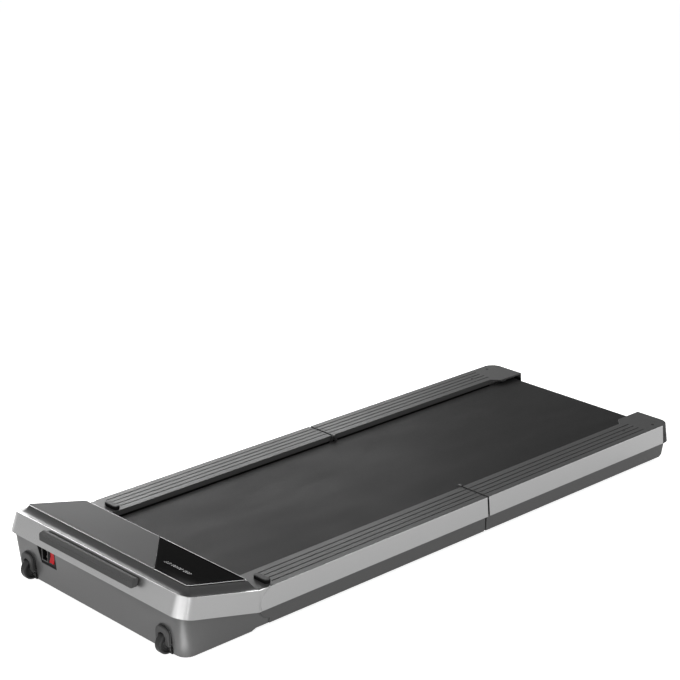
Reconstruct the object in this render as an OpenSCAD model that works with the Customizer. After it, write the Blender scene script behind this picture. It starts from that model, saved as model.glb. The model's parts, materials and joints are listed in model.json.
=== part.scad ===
// Folding walking pad: two deck halves that fold on a hinge, with the motor in a wedge housing at the front.
// X runs across the pad, Y from front to rear, Z up. Modules measure Y from the front rim of the housing.

/* [Overall] */
// Width of each side of the pad, from the edge of its opening to the outside
rail_w = 75; // [70:0.5:80]
// Length from the front rim to the fold line
front_len = 801; // [740:1:900]
// Length from the fold line to the rear end
rear_len = 609; // [520:1:612]
// Height of the rail tops above the floor
rail_top = 87; // [84:1:96]
// Gap between the two halves at the fold line
seam_gap = 5; // [3:0.5:6]
// Clearance between pieces that are fastened together
fit_gap = 0.3; // [0.2:0.1:0.5]

/* [Wedge housing] */
// Height of the front rim above the floor
rim_top = 131.5; // [122:0.5:138]
// Distance from the front rim to the bend where the slope meets the rails
bend_y = 178; // [170:1:186]
// Height of the silver band, square to its top edge
band_h = 42; // [38:1:45]
// How far the band leans out at its lower edge
band_lean = 3.7; // [2:0.1:5]
// Thickness of the silver band
band_t = 3; // [2:0.5:3.5]
// Radius of the front corners seen from above
corner_r = 30; // [24:1:36]
// Height of the top panel above the rim, square to the slope
panel_rise = 14.5; // [11:0.5:17]
// Radius of the hollow lip between rim and top panel
cove_r = 21.3; // [18:0.1:24]
// Thickness of the metal plate and the display glass
panel_t = 2; // [1.5:0.5:3]
// Length of the top panel down the slope
panel_len = 145; // [135:1:146]
// Wall thickness of the moulded housing
shell_t = 3; // [2.5:0.5:4]
// Height of the housing floor above the ground
housing_bottom = 4; // [3:0.5:6]

/* [Side rails] */
// Thickness of the grooved foot rail
foot_t = 4; // [3:0.5:5]
// Number of grip grooves along each foot rail
groove_count = 4; // [2:1:4]
// Distance between grip grooves
groove_pitch = 14; // [10:0.5:15]
// Width of a grip groove
groove_w = 2.4; // [1.5:0.1:3]
// Wall thickness of the metal side rail
rail_t = 2.5; // [2:0.5:3]
// Height of the skirt's lower edge above the ground
skirt_bottom = 8; // [7:0.5:10]
// Inset of the skirt behind the band's lower edge
skirt_inset = 9; // [8:0.1:10]
// Radius of the round nose where a rail seats in the housing
nose_r = 34; // [30:0.5:35]
// Radius of the rear corners seen from above
rear_r = 28; // [20:1:34]
// How far the rear corner cover reaches over the running belt
hook_w = 19; // [14:1:22]
// Length of the rear corner cover
hook_len = 90; // [70:1:110]
// Height of the rubber bumpers on the front half
bumper_h = 8; // [6:0.5:8]

/* [Running belt and rollers] */
// Width of the running belt
belt_w = 374; // [350:1:420]
// Gap between each edge of the belt and the foot rail
belt_gap = 10; // [9:0.5:12]
// Depth of the belt surface below the rail tops
belt_drop = 10; // [9:0.5:12]
// Thickness of the running belt
belt_t = 1.6; // [1.4:0.1:2]
// Diameter of both rollers
roller_d = 42; // [38:1:44]
// Wall thickness of the roller tubes
roller_wall = 3; // [2.5:0.5:4]
// Diameter of the fixed roller shafts
shaft_d = 14; // [12:0.5:16]
// Thickness of the deck boards
deck_t = 15; // [12:1:18]

/* [Drive] */
// Distance from the front rim to the drive roller's centre
drive_y = 122; // [120:1:128]
// Diameter of the motor case
motor_d = 78; // [70:1:80]
// Length of the motor case
motor_len = 170; // [140:1:190]
// Diameter of the motor pulley
motor_pulley_d = 24; // [22:1:28]
// Diameter of the drive roller's pulley
roller_pulley_d = 60; // [54:1:62]
// Thickness of the ribbed drive belt
vbelt_t = 3; // [2:0.5:4]

/* [Wheels, stand bar and inlet] */
// Diameter of the transport wheels
wheel_d = 42; // [38:1:43]
// Width of the transport wheels
wheel_w = 16; // [12:1:18]
// Distance of each wheel's middle from the outside of the pad
wheel_inset = 60; // [57:1:67]
// Diameter of the wheel axles
axle_d = 8; // [6:0.5:10]
// How far the stand bar reaches in front of the rim
bar_out = 24; // [22:0.5:28]
// Length of the stand bar
bar_len = 288; // [240:1:320]
// Width of the mains inlet's opening
inlet_w = 17; // [16:0.5:18]
// Height of the mains inlet's opening
inlet_h = 24.5; // [23:0.5:26]
// Tilt of the rocker when it is switched off
rocker_tilt = 9; // [6:1:10]

/* [Hidden] */
$fn = 48;
eps = 0.01;
run_gap = 0.05;

pad_w = belt_w + 2 * (belt_gap + rail_w);
half_w = pad_w / 2;
y_end = front_len + rear_len;
mid_y = (y_end + band_lean - bar_out) / 2;
slope = atan((rim_top - rail_top) / bend_y);

inner_x = belt_w / 2 + belt_gap;
web_x = inner_x + 3;
skirt_x = half_w + band_lean - skirt_inset;
skirt_lean = 1.5;
skirt_t = 2.5;
band_low = rail_top - band_h;
foot_low = rail_top - foot_t;
foot_x = half_w - 1.6;
lip_h = 17;
lip_t = 2.5;
lip_step = 1;
lip_bottom = rail_top - lip_h;

wrap_r = roller_d / 2 + 0.3;
loop_r = wrap_r + belt_t;
belt_top = rail_top - belt_drop;
roller_z = belt_top - loop_r;
belt_low = roller_z - loop_r;
strip_low = belt_top - 1.5;
idler_y = y_end - 26;
deck_top = belt_top - belt_t;
deck_low = deck_top - deck_t;
deck_w = belt_w + 1;
cushion_t = 3;
beam_h = 16;
beam_top = deck_low - cushion_t;
beam_w = 40;

nose_y = bend_y + nose_r - 0.6;
nose_z = rail_top - nose_r;
front_end = front_len - seam_gap / 2;
rear_start = front_len + seam_gap / 2;
foot_start = bend_y - 9;
silver_end = y_end - rear_r;
hook_y = y_end - hook_len;
hook_x = inner_x - hook_w;
groove_end = y_end - 78;

hinge_z = rail_top + 0.2;
hinge_pin_d = 3;
ear_r = 3;
ear_t = 4;
ear_gap = 0.5;
front_ear_x = inner_x - 0.3 - ear_t;
rear_ear_x = front_ear_x - ear_gap - ear_t;

rim_in = band_t + fit_gap;
cover_hw = half_w - rim_in;
cover_r = corner_r - rim_in;
cover_low = -10;
panel_inset = sqrt(2 * cove_r * (panel_rise - panel_t) - pow(panel_rise - panel_t, 2));
panel_front = rim_in + panel_inset;
panel_hw = cover_hw - panel_inset;
panel_rear = panel_front + panel_len;
cover_rear_y = panel_rear * cos(slope) + panel_rise * sin(slope);
cover_rear_z = rim_top - panel_rear * sin(slope) + panel_rise * cos(slope);
cover_foot_y = bend_y - 1;
glass_front_x = panel_hw - 97;
glass_rear_x = -12;
glass_z = panel_rise - panel_t;
panel_r = 7;
panel_joint = 0.4;
board_x = panel_hw - 99;
board_y = panel_front + 0.62 * panel_len;
board_t = 1.6;
window_w = 70;
window_l = 30;
board_w = window_w + 30;
board_l = window_l + 20;
bar_top = 130;
bar_h = 17;
bar_gap = 2.5;

house_top_hw = half_w - 4;
house_low_hw = half_w - 9;
house_top_y = -7.2;
house_low_y = 3;
house_top_z = 104;
house_r = corner_r - 6;
house_step_y = bend_y - 15;
house_step_l = 11;

wheel_x = half_w - wheel_inset;
wheel_y = 1;
wheel_z = wheel_d / 2 + 0.5;
slot_w = wheel_w + 4;
slot_r = wheel_d / 2 + 2.5;
hood_hw = 18.5;
hood_top = 58;
hood_r = hood_hw - 5;
hood_front = -9;
hood_groove = 2.5;
pocket_rear = wheel_y + wheel_d / 2 + 5;

recess_x0 = -wheel_x + hood_hw + 16;
recess_x1 = recess_x0 + 54.5;
recess_z0 = 52;
recess_z1 = 88;
recess_slant = 9.5;
cup_wall = 2;
cup_face = -0.5;
cup_back = 3.5;
inlet_x = recess_x0 + 19.3;
inlet_z = 70.5;
inlet_rim = 1.8;
inlet_depth = 16;
switch_x = recess_x1 - 10.8;
switch_z = 71;
switch_w = 17.6;
switch_h = 27.5;
rocker_w = switch_w - 4;
rocker_h = switch_h - 5.7;
rocker_y = cup_face + 1;
inlet_pin_places = [[2, 0], [-2, 7], [-2, -7]];

motor_y = 50;
motor_z = 64;
motor_x0 = -70;
motor_shaft_d = 12;
tube_hw = belt_w / 2 - 3;
pulley_x = belt_w / 2 + 1.5;
pulley_w = 15;
bay_x = pulley_x + pulley_w + 4;
plate_t = 3.5;
ladder_x = web_x - fit_gap - plate_t;
bay_start = pocket_rear + 5;
bay_low = housing_bottom + shell_t + fit_gap;
tube_top = bay_low + 12;
tube_w = 32;

foot_d = 26;
foot_front_y = 62;
foot_x_front = wheel_x - hood_hw - foot_d - 17.5;
foot_flange_x = web_x + 15;
foot_x_rail = foot_flange_x + foot_d / 2 + 4;

groove_x = inner_x + 16.3;
groove_depth = 1.2;
bumper_places = [-inner_x - 23, half_w - 31];
bumper_y = nose_y - 10;
bumper_w = 40;
bumper_l = 15;
screw_d = 3.5;
screw_head_d = 7;
screw_head_h = 2;
bolt_x = ladder_x - 4.2;
bolt_d = 6;
bolt_head_d = 8;
bolt_reach = 16;
tube_wall = 2;

ladder_low = roller_z - 14;
ladder_top = lip_bottom - 3;
bay_beam_w = 18;
bay_beam_y = drive_y + roller_pulley_d / 2 + vbelt_t + 3 + bay_beam_w / 2;
front_beams = [for (part = [0.24, 0.58, 0.905]) bay_beam_y + part * (front_end - bay_beam_y)];
rear_beams = [for (part = [0.11, 0.46, 0.77, 0.93]) rear_start + part * (idler_y - loop_r - rear_start)];
ear_low = lip_bottom - 24;
ear_foot_y0 = 6;
ear_foot_y1 = 36;
plug_l = 14;
plug_gap = 0.2;

// Shared frames and outlines

module place() {
    translate([0, -mid_y, 0]) children();
}

module both_sides() {
    children();
    mirror([1, 0, 0]) children();
}

// Side left is -1, right is 1
module on_side(side) {
    if (side < 0)
        mirror([1, 0, 0]) children();
    else
        children();
}

// Frame of the sloping top: origin on the front rim, Y down the slope, Z square to it
module on_slope() {
    translate([0, 0, rim_top]) rotate([-slope, 0, 0]) children();
}

// Everything below a plane that lies the given distance above the slope
module below_slope(off) {
    on_slope() translate([-pad_w, -bend_y, off - pad_w]) cube([2 * pad_w, 3 * bend_y, pad_w]);
}

// Everything in front of the plane that halves the bend between slope and rails
module before_bend() {
    translate([0, bend_y, rail_top]) rotate([-slope / 2, 0, 0])
        translate([-pad_w, -2 * bend_y, -pad_w / 2]) cube([2 * pad_w, 2 * bend_y, pad_w]);
}

// Outline seen from above, with round corners at the front
module front_plan(hw, y0, y1, r) {
    translate([-hw, y0 + r]) square([2 * hw, y1 - y0 - r]);
    translate([-hw + r, y0]) square([2 * (hw - r), r + eps]);
    for (s = [-1, 1])
        translate([s * (hw - r), y0 + r]) circle(r);
}

// Solid between two front outlines at different heights
module front_loft(low_z, low, high_z, high, y1) {
    hull() {
        translate([0, 0, low_z]) linear_extrude(eps) front_plan(low[0], low[1], y1, low[2]);
        translate([0, 0, high_z - eps]) linear_extrude(eps) front_plan(high[0], high[1], y1, high[2]);
    }
}

// Outline seen from above of the rear end, with round corners at the back
module rear_plan(hw, y0, y1, r) {
    translate([-hw, y0]) square([2 * hw, y1 - y0 - r]);
    translate([-hw + r, y1 - r - eps]) square([2 * (hw - r), r + eps]);
    for (s = [-1, 1])
        translate([s * (hw - r), y1 - r]) circle(r);
}

// Extrudes an outline drawn in Y and Z along X
module along_x(x0, x1) {
    translate([x0, 0, 0]) rotate([90, 0, 90]) linear_extrude(x1 - x0) children();
}

// Extrudes an outline drawn in X and Z along Y
module along_y(y0, y1) {
    translate([0, y1, 0]) rotate([90, 0, 0]) linear_extrude(y1 - y0) children();
}

module rod_x(x0, x1, y, z, d) {
    translate([x0, y, z]) rotate([0, 90, 0]) cylinder(d = d, h = x1 - x0);
}

module rod_y(x, y0, y1, z, d) {
    translate([x, y0, z]) rotate([-90, 0, 0]) cylinder(d = d, h = y1 - y0);
}

// Distance of the band's front face behind the rim at height z
function band_front(z) = -(rim_top - z) * tan(slope + atan(band_lean / band_h));

// Region behind the round seam between housing and rails
module behind_nose(gap) {
    along_x(-pad_w, pad_w) {
        translate([nose_y, nose_z]) circle(nose_r - gap);
        translate([nose_y - 6 + gap, -10]) square([y_end, rail_top + 200]);
    }
}

// Wedge housing

// Section of the silver band beside the rails, outer face leaning out below
module band_section(thick) {
    polygon([
        [half_w - thick, rail_top],
        [half_w, rail_top],
        [half_w + band_lean, band_low],
        [half_w + band_lean - thick, band_low]
    ]);
}

// Leaning solid inside the slope's frame, from depth low up to high, grown by off
module band_form(low, high, off) {
    k = band_lean / band_h;
    front_loft(low, [half_w - k * low + off, k * low - off, corner_r - k * low + off],
        high, [half_w - k * high + off, k * high - off, corner_r - k * high + off], bend_y + 60);
}

module housing_band() {
    color("silver") difference() {
        union() {
            intersection() {
                on_slope() difference() {
                    band_form(-band_h, 0, 0);
                    band_form(-band_h - 1, 1, -band_t);
                }
                before_bend();
            }
            difference() {
                both_sides() along_y(bend_y - 20, nose_y) band_section(band_t);
                before_bend();
            }
        }
        behind_nose(-fit_gap);
    }
}

// Outside form of the moulded lower shell, or its inside when off is negative
module lower_form(off) {
    front_loft(housing_bottom - min(off, 0), [house_low_hw + off, house_low_y - off, house_r + off],
        house_top_z, [house_top_hw + off, house_top_y - off, house_r + off], nose_y + 20);
}

module lower_housing() {
    color("dimgray") difference() {
        intersection() {
            difference() {
                lower_form(0);
                lower_form(-shell_t);
            }
            below_slope(cover_low - fit_gap);
            on_slope() band_form(-180, 0, -band_t - fit_gap);
        }
        // the lower edge ramps up to the skirts
        along_x(-pad_w, pad_w) polygon([
            [house_step_y, 0], [house_step_y, housing_bottom], [house_step_y + house_step_l, skirt_bottom],
            [y_end, skirt_bottom], [y_end, 0]
        ]);
        behind_nose(-fit_gap);
        for (s = [-1, 1])
            translate([s * wheel_x, 0, 0]) along_y(-bar_out, pocket_rear + fit_gap)
                arch(hood_hw + fit_gap, 0, hood_top + fit_gap, hood_r + fit_gap);
        along_y(-bar_out, bar_out) recess_outline(cup_wall + fit_gap);
    }
}

// The hollow lip that runs round the front and sides of the top panel
module cove() {
    straight = panel_rear + 40;
    translate([-(cover_hw - cover_r), rim_in, cove_r]) rotate([0, 90, 0])
        cylinder(r = cove_r, h = 2 * (cover_hw - cover_r));
    both_sides() {
        translate([cover_hw, rim_in + cover_r, cove_r]) rotate([-90, 0, 0]) cylinder(r = cove_r, h = straight);
        translate([cover_hw - cover_r, rim_in + cover_r, cove_r]) rotate([0, 0, -90])
            rotate_extrude(angle = 90) translate([cover_r, 0]) circle(cove_r);
    }
}

module upper_cover() {
    wide = [cover_hw - shell_t, rim_in + shell_t, cover_r - shell_t];
    high = [panel_hw - shell_t, panel_front + shell_t, 4];
    color("#4d4d50") difference() {
        on_slope() difference() {
            translate([0, 0, cover_low]) linear_extrude(glass_z - cover_low)
                front_plan(cover_hw, rim_in, panel_rear + 30, cover_r);
            cove();
            translate([0, 0, cover_low - 1]) linear_extrude(1 - cover_low - 4)
                front_plan(wide[0], wide[1], panel_rear - shell_t, wide[2]);
            translate([0, 0, cover_low - 1]) linear_extrude(1 - cover_low + glass_z - shell_t)
                front_plan(high[0], high[1], panel_rear - shell_t, high[2]);
            translate([board_x, board_y, 0]) cube([window_w, window_l, 40], center = true);
        }
        // the rear face leans forward, and its foot clears the rails
        along_x(-pad_w, pad_w) polygon([
            [foot_start - fit_gap, 0], [foot_start - fit_gap, rail_top + fit_gap],
            [cover_foot_y, rail_top + fit_gap], [cover_rear_y, cover_rear_z], [cover_rear_y, 2 * rim_top],
            [y_end, 2 * rim_top], [y_end, 0]
        ]);
    }
}

// Outline of the top panel, shrunk by d, seen square to the slope
module panel_outline(d) {
    r = panel_r - d;
    x = panel_hw - d;
    translate([-x, panel_front + d + r]) square([2 * x, panel_len - 2 * (d + r)]);
    translate([-x + r, panel_front + d]) square([2 * (x - r), panel_len - 2 * d]);
    for (sx = [-1, 1])
        for (y = [panel_front + d + r, panel_rear - d - r])
            translate([sx * (x - r), y]) circle(r);
}

// Area on one side of the slanted joint between metal plate and glass
module beside_joint(side, d) {
    run = [glass_rear_x - glass_front_x, panel_len];
    turn = atan2(run[1], run[0]);
    translate([glass_front_x, panel_front]) rotate(turn)
        translate([-pad_w, side > 0 ? -2 * pad_w - d : d]) square([2 * pad_w, 2 * pad_w]);
}

// Thin plate with a chamfered upper edge, on one side of the joint
module panel_piece(side) {
    chamfer = 0.7;
    on_slope() hull() {
        translate([0, 0, glass_z]) linear_extrude(panel_t - chamfer) intersection() {
            panel_outline(0);
            beside_joint(side, panel_joint / 2);
        }
        translate([0, 0, glass_z]) linear_extrude(panel_t) intersection() {
            panel_outline(chamfer);
            beside_joint(side, panel_joint / 2 + chamfer);
        }
    }
}

module panel_plate() {
    color("gray") panel_piece(-1);
}

module display_glass() {
    color("#101012") panel_piece(1);
}

// Circuit board with a lit block of numbers that stands in the window under the glass
module display_board() {
    color("darkgreen") on_slope() translate([board_x, board_y, 0]) {
        translate([0, 0, glass_z - shell_t - board_t / 2 - fit_gap])
            cube([board_w, board_l, board_t], center = true);
        translate([0, 0, glass_z - 1 - shell_t / 2])
            cube([window_w - 4, window_l - 4, shell_t + 1], center = true);
    }
}

// Bar across the front that the folded pad stands on, held off the band by three feet
module stand_bar() {
    z1 = bar_top - 3;
    z0 = bar_top - bar_h;
    bevel = 3;
    color("#5a5a5c") {
        intersection() {
            along_x(-bar_len / 2, bar_len / 2) polygon([
                [-bar_out, z0 + 1.5], [-bar_out + 1.5, z0], [band_front(z0) - bar_gap, z0],
                [band_front(z1) - bar_gap, z1], [-bar_out / 2 + 3, bar_top], [-bar_out / 2 - 1, bar_top],
                [-bar_out, z1]
            ]);
            translate([0, 0, z0 - 1]) linear_extrude(2 * bar_h) polygon([
                [-bar_len / 2 + bevel, -bar_out], [bar_len / 2 - bevel, -bar_out],
                [bar_len / 2, -bar_out + bevel], [bar_len / 2, 10], [-bar_len / 2, 10],
                [-bar_len / 2, -bar_out + bevel]
            ]);
        }
        for (x = [-bar_len / 2 + 30, 0, bar_len / 2 - 30])
            along_x(x - 12, x + 12) polygon([
                [-bar_out / 2, z0 + 3], [band_front(z0 + 3), z0 + 3], [band_front(z1 - 2), z1 - 2],
                [-bar_out / 2, z1 - 2]
            ]);
    }
}

// Transport wheels

module arch(hw, z0, z1, r) {
    translate([-hw, z0]) square([2 * hw, z1 - r - z0]);
    translate([-hw + r, z0]) square([2 * (hw - r), z1 - z0]);
    for (s = [-1, 1])
        translate([s * (hw - r), z1 - r]) circle(r);
}

// Moulded pocket for one wheel: a grooved hood in front, its lower front cut away, and a slot for the wheel
module wheel_bracket(side) {
    groove_y = hood_front + 4.5;
    color("#3c3c3e") on_side(side) translate([wheel_x, 0, 0]) difference() {
        union() {
            along_y(groove_y + 1.5, pocket_rear) arch(hood_hw, housing_bottom, hood_top, hood_r);
            along_y(groove_y - 1, groove_y + 2.5)
                arch(hood_hw - hood_groove, housing_bottom, hood_top - hood_groove, hood_r - hood_groove);
            along_y(hood_front + 1, groove_y) arch(hood_hw, housing_bottom, hood_top - 1, hood_r);
            along_y(hood_front, hood_front + 2) arch(hood_hw - 1, housing_bottom, hood_top - 2, hood_r - 1);
        }
        // the lower front slants back to the housing, which bares the wheel
        along_x(-wheel_d, wheel_d) polygon([
            [hood_front - 1, 0], [hood_front - 1, wheel_z + 6.5], [hood_front, wheel_z + 6.5], [0.5, housing_bottom + 2],
            [0.5, 0]
        ]);
        along_y(hood_front - 1, pocket_rear - shell_t) arch(slot_w / 2, 0, wheel_z + slot_r, slot_w / 2 - 1);
        rod_x(-hood_hw - 1, hood_hw + 1, wheel_y, wheel_z, axle_d + 2 * run_gap);
    }
}

module wheel_bracket_left() { wheel_bracket(-1); }
module wheel_bracket_right() { wheel_bracket(1); }

module wheel_axles() {
    color("silver") both_sides()
        rod_x(wheel_x - hood_hw + 3, wheel_x + hood_hw - 3, wheel_y, wheel_z, axle_d);
}

// Wheel with a raised tread, dished faces and a hub
module transport_wheel(side) {
    dish = 3;
    color("#222224") on_side(side) translate([wheel_x, wheel_y, wheel_z]) rotate([0, 90, 0])
        rotate_extrude() polygon([
            [axle_d / 2 + run_gap, -wheel_w / 2], [axle_d / 2 + 4, -wheel_w / 2],
            [axle_d / 2 + 5, -wheel_w / 2 + dish], [wheel_d / 2 - 6, -wheel_w / 2 + dish],
            [wheel_d / 2 - 5, -wheel_w / 2], [wheel_d / 2 - 1.5, -wheel_w / 2],
            [wheel_d / 2, -wheel_w / 2 + 2], [wheel_d / 2, wheel_w / 2 - 2],
            [wheel_d / 2 - 1.5, wheel_w / 2], [wheel_d / 2 - 5, wheel_w / 2],
            [wheel_d / 2 - 6, wheel_w / 2 - dish], [axle_d / 2 + 5, wheel_w / 2 - dish],
            [axle_d / 2 + 4, wheel_w / 2], [axle_d / 2 + run_gap, wheel_w / 2]
        ]);
}

module wheel_left() { transport_wheel(-1); }
module wheel_right() { transport_wheel(1); }

// Mains inlet and switch

// Distance of the lower housing's front face behind the rim at height z
function house_front(z) =
    house_low_y + (house_top_y - house_low_y) * (z - housing_bottom) / (house_top_z - housing_bottom);

// Box centred in X and Z with its front at y0 and its rear at y1
module panel_box(x, z, w, h, y0, y1) {
    translate([x - w / 2, y0, z - h / 2]) cube([w, y1 - y0, h]);
}

// Outline of the recess seen from the front, grown by d, its left side slanted
module recess_outline(d) {
    polygon([
        [recess_x0 - d, recess_z1 + d], [recess_x1 + d, recess_z1 + d], [recess_x1 + d, recess_z0 - d],
        [recess_x0 + recess_slant - d, recess_z0 - d]
    ]);
}

// Shallow cup round the inlet and the switch, with a flange behind the housing's wall
module inlet_cup() {
    color("#1b1b1d") difference() {
        union() {
            intersection() {
                along_y(-bar_out, cup_back) recess_outline(cup_wall);
                along_x(-half_w, 0) polygon([
                    [house_front(0), 0], [house_front(rim_top), rim_top], [bend_y, rim_top], [bend_y, 0]
                ]);
            }
            along_y(cup_back - 1.6, cup_back) recess_outline(cup_wall + 4);
        }
        along_y(-bar_out, cup_face) recess_outline(0);
        panel_box(inlet_x, inlet_z, inlet_w + 3 + 2 * fit_gap, inlet_h + 3 + 2 * fit_gap, cup_face - 1, cup_back + 1);
        panel_box(switch_x, switch_z, switch_w - 2 + 2 * fit_gap, switch_h - 2 + 2 * fit_gap, cup_face - 1,
            cup_back + 1);
    }
}

// Shell of the mains inlet, open to the front
module inlet_socket() {
    y0 = cup_face - 1.5;
    color("#262628") difference() {
        union() {
            panel_box(inlet_x, inlet_z, inlet_w + 2 * inlet_rim, inlet_h + 2 * inlet_rim, y0, cup_face);
            panel_box(inlet_x, inlet_z, inlet_w + 3, inlet_h + 3, y0, y0 + inlet_depth + 3);
        }
        panel_box(inlet_x, inlet_z, inlet_w, inlet_h, y0 - 1, y0 + inlet_depth);
        for (p = inlet_pin_places)
            panel_box(inlet_x + p[0], inlet_z + p[1], 2, 4, y0, 60);
    }
}

module inlet_pins() {
    y0 = cup_face - 1.5;
    color("silver") for (p = inlet_pin_places)
        panel_box(inlet_x + p[0], inlet_z + p[1], 2, 4, y0 + 6, y0 + inlet_depth + 8);
}

// Frame that the rocker snaps into, with a small bore each side for its pivot
module switch_frame() {
    y0 = cup_face - 1.5;
    color("#19191b") difference() {
        union() {
            panel_box(switch_x, switch_z, switch_w, switch_h, y0, cup_face);
            panel_box(switch_x, switch_z, switch_w - 2, switch_h - 2, y0, y0 + 14);
        }
        panel_box(switch_x, switch_z, switch_w - 3.4, switch_h - 4.6, y0 - 1, y0 + 12);
        rod_x(switch_x - switch_w / 2 + 1.2, switch_x + switch_w / 2 - 1.2, rocker_y, switch_z, 2.5);
    }
}

module rocker() {
    h = rocker_h / 2;
    color("red") {
        translate([0, rocker_y, switch_z]) rotate([-rocker_tilt, 0, 0])
            along_x(switch_x - rocker_w / 2, switch_x + rocker_w / 2) polygon([
                [-3, h], [-1.4, 0], [-3, -h], [0, -h], [4, -3], [4, 3], [0, h]
            ]);
        rod_x(switch_x - switch_w / 2 + 1.4, switch_x + switch_w / 2 - 1.4, rocker_y, switch_z, 2.4);
    }
}

// Side rails. Each module draws the right-hand piece, on_side mirrors it to the left.

module rail_section() {
    inner = web_x + rail_t;
    low = skirt_bottom + skirt_t + fit_gap;
    shelf = skirt_x - skirt_t - fit_gap;
    polygon([
        [half_w, rail_top], [half_w + band_lean, band_low], [shelf - rail_t, band_low],
        [shelf - rail_t, low], [web_x, low], [web_x, foot_low - fit_gap],
        [foot_x + fit_gap, foot_low - fit_gap], [foot_x + fit_gap, rail_top]
    ]);
}

// Hollow of a side rail, narrowed by d on every side
module rail_hollow(d) {
    low = skirt_bottom + skirt_t + fit_gap + rail_t + d;
    high = foot_low - fit_gap - rail_t - d;
    shelf = skirt_x - skirt_t - fit_gap - 2 * rail_t - d;
    polygon([
        [half_w - rail_t - d, high], [half_w + band_lean - rail_t - fit_gap - d, band_low + rail_t + d],
        [shelf, band_low + rail_t + d], [shelf, low], [web_x + rail_t + d, low], [web_x + rail_t + d, high]
    ]);
}

module side_rail(y0, y1) {
    along_y(y0, y1) difference() {
        rail_section();
        rail_hollow(0);
    }
}

module side_rail_front(side) {
    color("silver") on_side(side) intersection() {
        side_rail(bend_y - 5, front_end);
        behind_nose(0);
    }
}

module side_rail_rear(side) {
    color("silver") on_side(side) difference() {
        side_rail(rear_start, silver_end);
        cap_screw_cuts(screw_d + 0.2);
    }
}

// Plugs that close the ends of the rails at the fold line
module rail_plugs(y0) {
    color("#1b1b1d") both_sides() along_y(y0, y0 + plug_l) rail_hollow(plug_gap);
}

module rail_plugs_front() { rail_plugs(front_end - plug_l); }
module rail_plugs_rear() { rail_plugs(rear_start); }

module side_rail_front_left() { side_rail_front(-1); }
module side_rail_front_right() { side_rail_front(1); }
module side_rail_rear_left() { side_rail_rear(-1); }
module side_rail_rear_right() { side_rail_rear(1); }

// Plastic strip below the silver band, with a foot turned in under the rail
module skirt_section() {
    low_x = skirt_x - skirt_lean;
    polygon([
        [skirt_x - skirt_t, band_low - fit_gap], [skirt_x, band_low - fit_gap],
        [low_x, skirt_bottom + 1], [low_x - 1, skirt_bottom], [foot_flange_x, skirt_bottom],
        [foot_flange_x, skirt_bottom + skirt_t], [low_x - skirt_t, skirt_bottom + skirt_t]
    ]);
}

module skirt_front(side) {
    color("#48484a") on_side(side) intersection() {
        along_y(bend_y - 5, front_end) skirt_section();
        behind_nose(0);
    }
}

// The rear skirts end in a slanted face with a cut corner
module skirt_rear(side) {
    end_y = y_end - 13;
    color("#48484a") on_side(side) intersection() {
        along_y(rear_start, end_y) skirt_section();
        along_x(0, pad_w) polygon([
            [0, 0], [end_y - 14, 0], [end_y - 14, skirt_bottom], [end_y - 6, skirt_bottom + 6],
            [end_y, band_low], [0, band_low]
        ]);
    }
}

module skirt_front_left() { skirt_front(-1); }
module skirt_front_right() { skirt_front(1); }
module skirt_rear_left() { skirt_rear(-1); }
module skirt_rear_right() { skirt_rear(1); }

// Grooves along the top of a foot rail
module grooves(y0, y1) {
    for (i = [0:groove_count - 1])
        translate([groove_x + i * groove_pitch - groove_w / 2, y0, rail_top - groove_depth])
            cube([groove_w, y1 - y0, groove_depth + 1]);
}

// Inner edge of a foot rail, stepped back below the belt's surface
module lip(y0, y1) {
    along_y(y0, y1) polygon([
        [inner_x, rail_top], [inner_x, strip_low], [inner_x + lip_step, strip_low], [inner_x + lip_step, lip_bottom],
        [inner_x + lip_t, lip_bottom], [inner_x + lip_t, rail_top]
    ]);
}

module foot_rail_front(side) {
    color("#6b6b6e") on_side(side) difference() {
        union() {
            translate([inner_x, nose_y - 5, foot_low]) cube([foot_x - inner_x, front_end - nose_y + 5, foot_t]);
            translate([inner_x, foot_start, foot_low])
                cube([half_w - band_t - fit_gap - inner_x, nose_y - foot_start, foot_t]);
            lip(foot_start, front_end);
        }
        grooves(bumper_y + bumper_l + 4, front_end + 1);
    }
}

module foot_rail_front_left() { foot_rail_front(-1); }
module foot_rail_front_right() { foot_rail_front(1); }

// Leaning solid between two rear outlines, grown by off
module rear_form(low, off) {
    k = band_lean / band_h;
    hull() {
        translate([0, 0, low]) linear_extrude(eps)
            rear_plan(half_w + k * (rail_top - low) + off, silver_end - 40, y_end + k * (rail_top - low) + off, rear_r + off);
        translate([0, 0, rail_top - eps]) linear_extrude(eps)
            rear_plan(half_w + off, silver_end - 40, y_end + off, rear_r + off);
    }
}

module screw_places() {
    for (p = [[groove_x + 1.5 * groove_pitch - 4, y_end - 117], [half_w - 20, y_end - 40]])
        translate([p[0], p[1], 0]) children();
}

module cap_screw_cuts(d) {
    screw_places() cylinder(d = d, h = rail_top + 1);
}

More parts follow.
